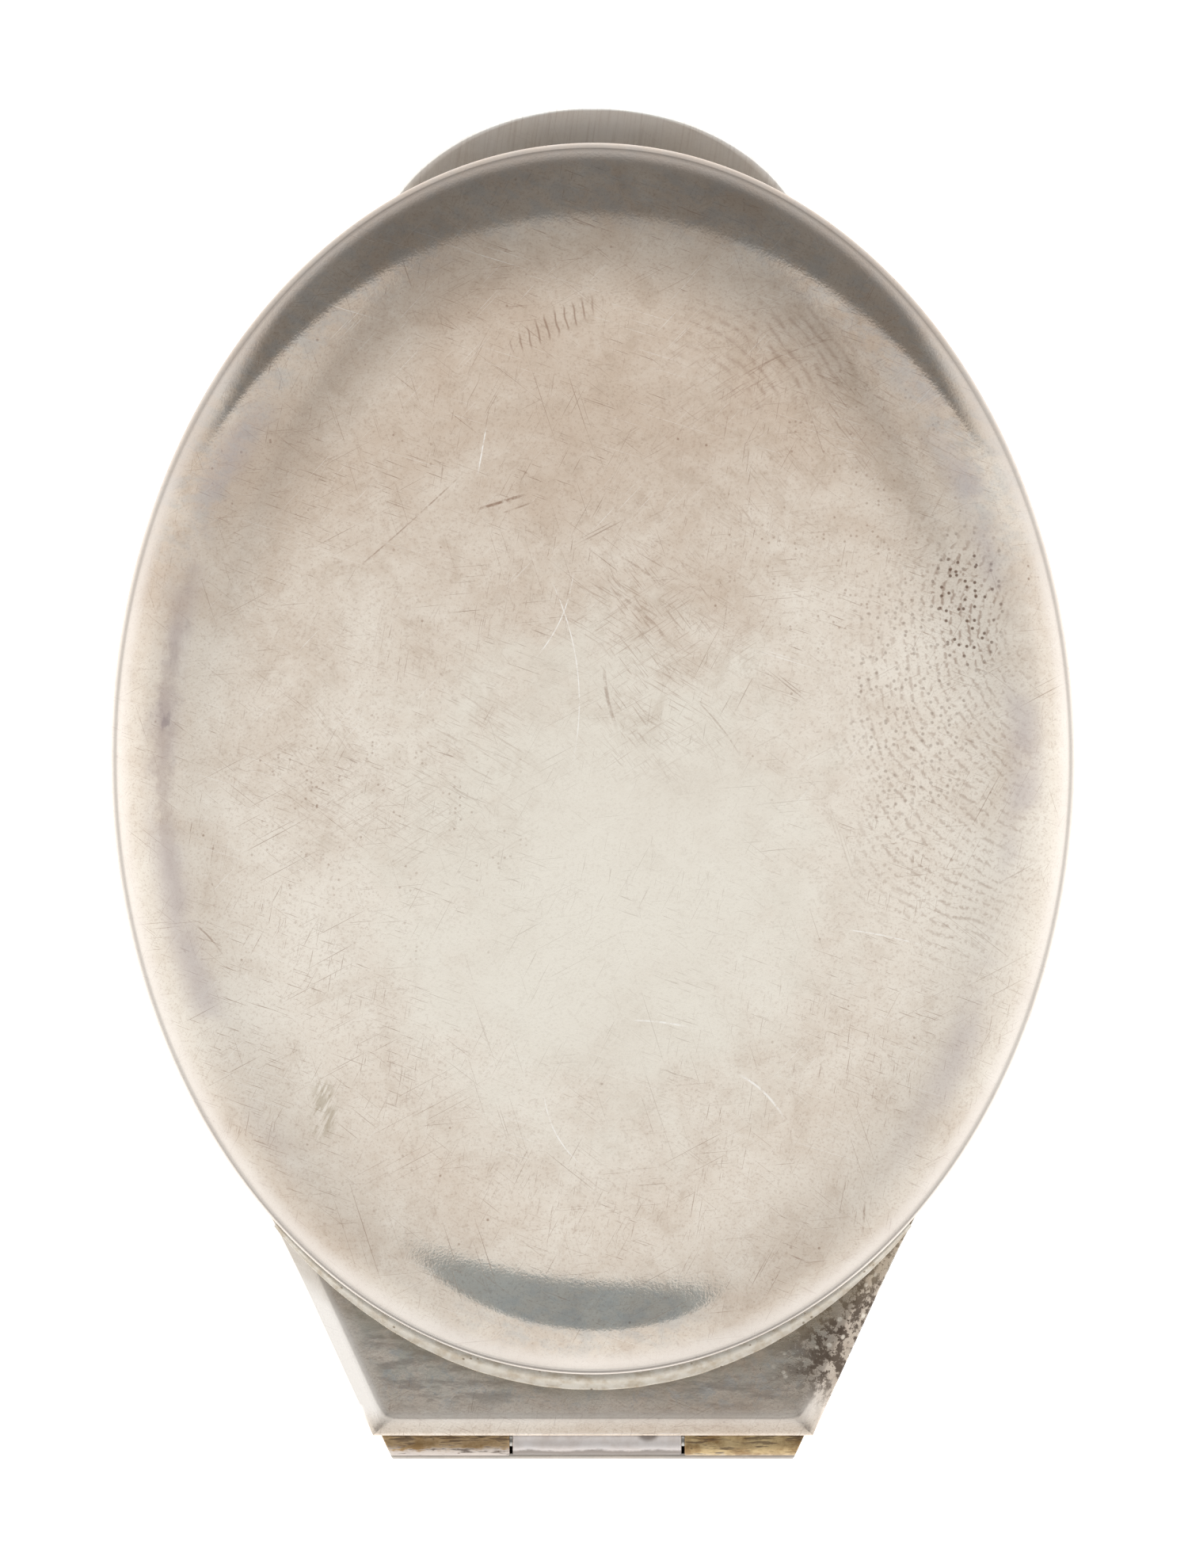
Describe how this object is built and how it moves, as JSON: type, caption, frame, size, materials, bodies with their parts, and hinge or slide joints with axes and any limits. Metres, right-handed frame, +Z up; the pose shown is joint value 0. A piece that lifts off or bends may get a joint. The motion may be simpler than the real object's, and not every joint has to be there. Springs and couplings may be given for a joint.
{
  "type": "ink blotter",
  "caption": "Hinged rocker blotter: an oval thumb dish and lid over a curved plate that carries the blotting paper, hinged at its narrow end and opened by a tongue.",
  "frame": {"origin": "under the middle of the whole object, on the surface that the rocker stands on", "axes": "+X to the right seen from above with the hinge nearest, +Y from the hinge to the free tongue, +Z up out of the thumb dish"},
  "size_m": [0.0508, 0.0714, 0.0139],
  "materials": {
    "silver_plate": "old silver plate over brass, hand worn, warm tarnish and hairline scratches",
    "worn_brass": "brass where the plating has worn off, dull and stained",
    "bare_nickel": "plain drawn nickel silver, lightly oxidised",
    "spring_bronze": "rolled spring bronze, satin",
    "silver_solder": "hand-filed silver solder, slightly grainy",
    "blotting_paper": "soft thick blotting paper with a fibre tooth"
  },
  "bodies": {
    "rocker": {"rocker_plate": "silver_plate", "blotting_paper": "blotting_paper", "hinge_bearer": "silver_plate", "left_knuckle": "worn_brass", "right_knuckle": "worn_brass", "hinge_pin": "bare_nickel", "hinge_plugs": "worn_brass", "catch_clip": "spring_bronze", "clip_rivets": "bare_nickel"},
    "lid": {"lid_plate": "silver_plate", "middle_knuckle": "silver_plate", "thumb_dish": "silver_plate", "solder_seam": "silver_solder", "pressure_spring": "spring_bronze", "spring_plate": "bare_nickel", "spring_rivets": "bare_nickel", "catch_stud": "bare_nickel"}
  },
  "joints": [
    {"name": "lid_hinge", "type": "hinge", "parent": "rocker", "child": "lid", "pos_m": [0, -0.03451, 0.0096], "axis": [1, 0, 0], "range_deg": [0, 115]}
  ]
}
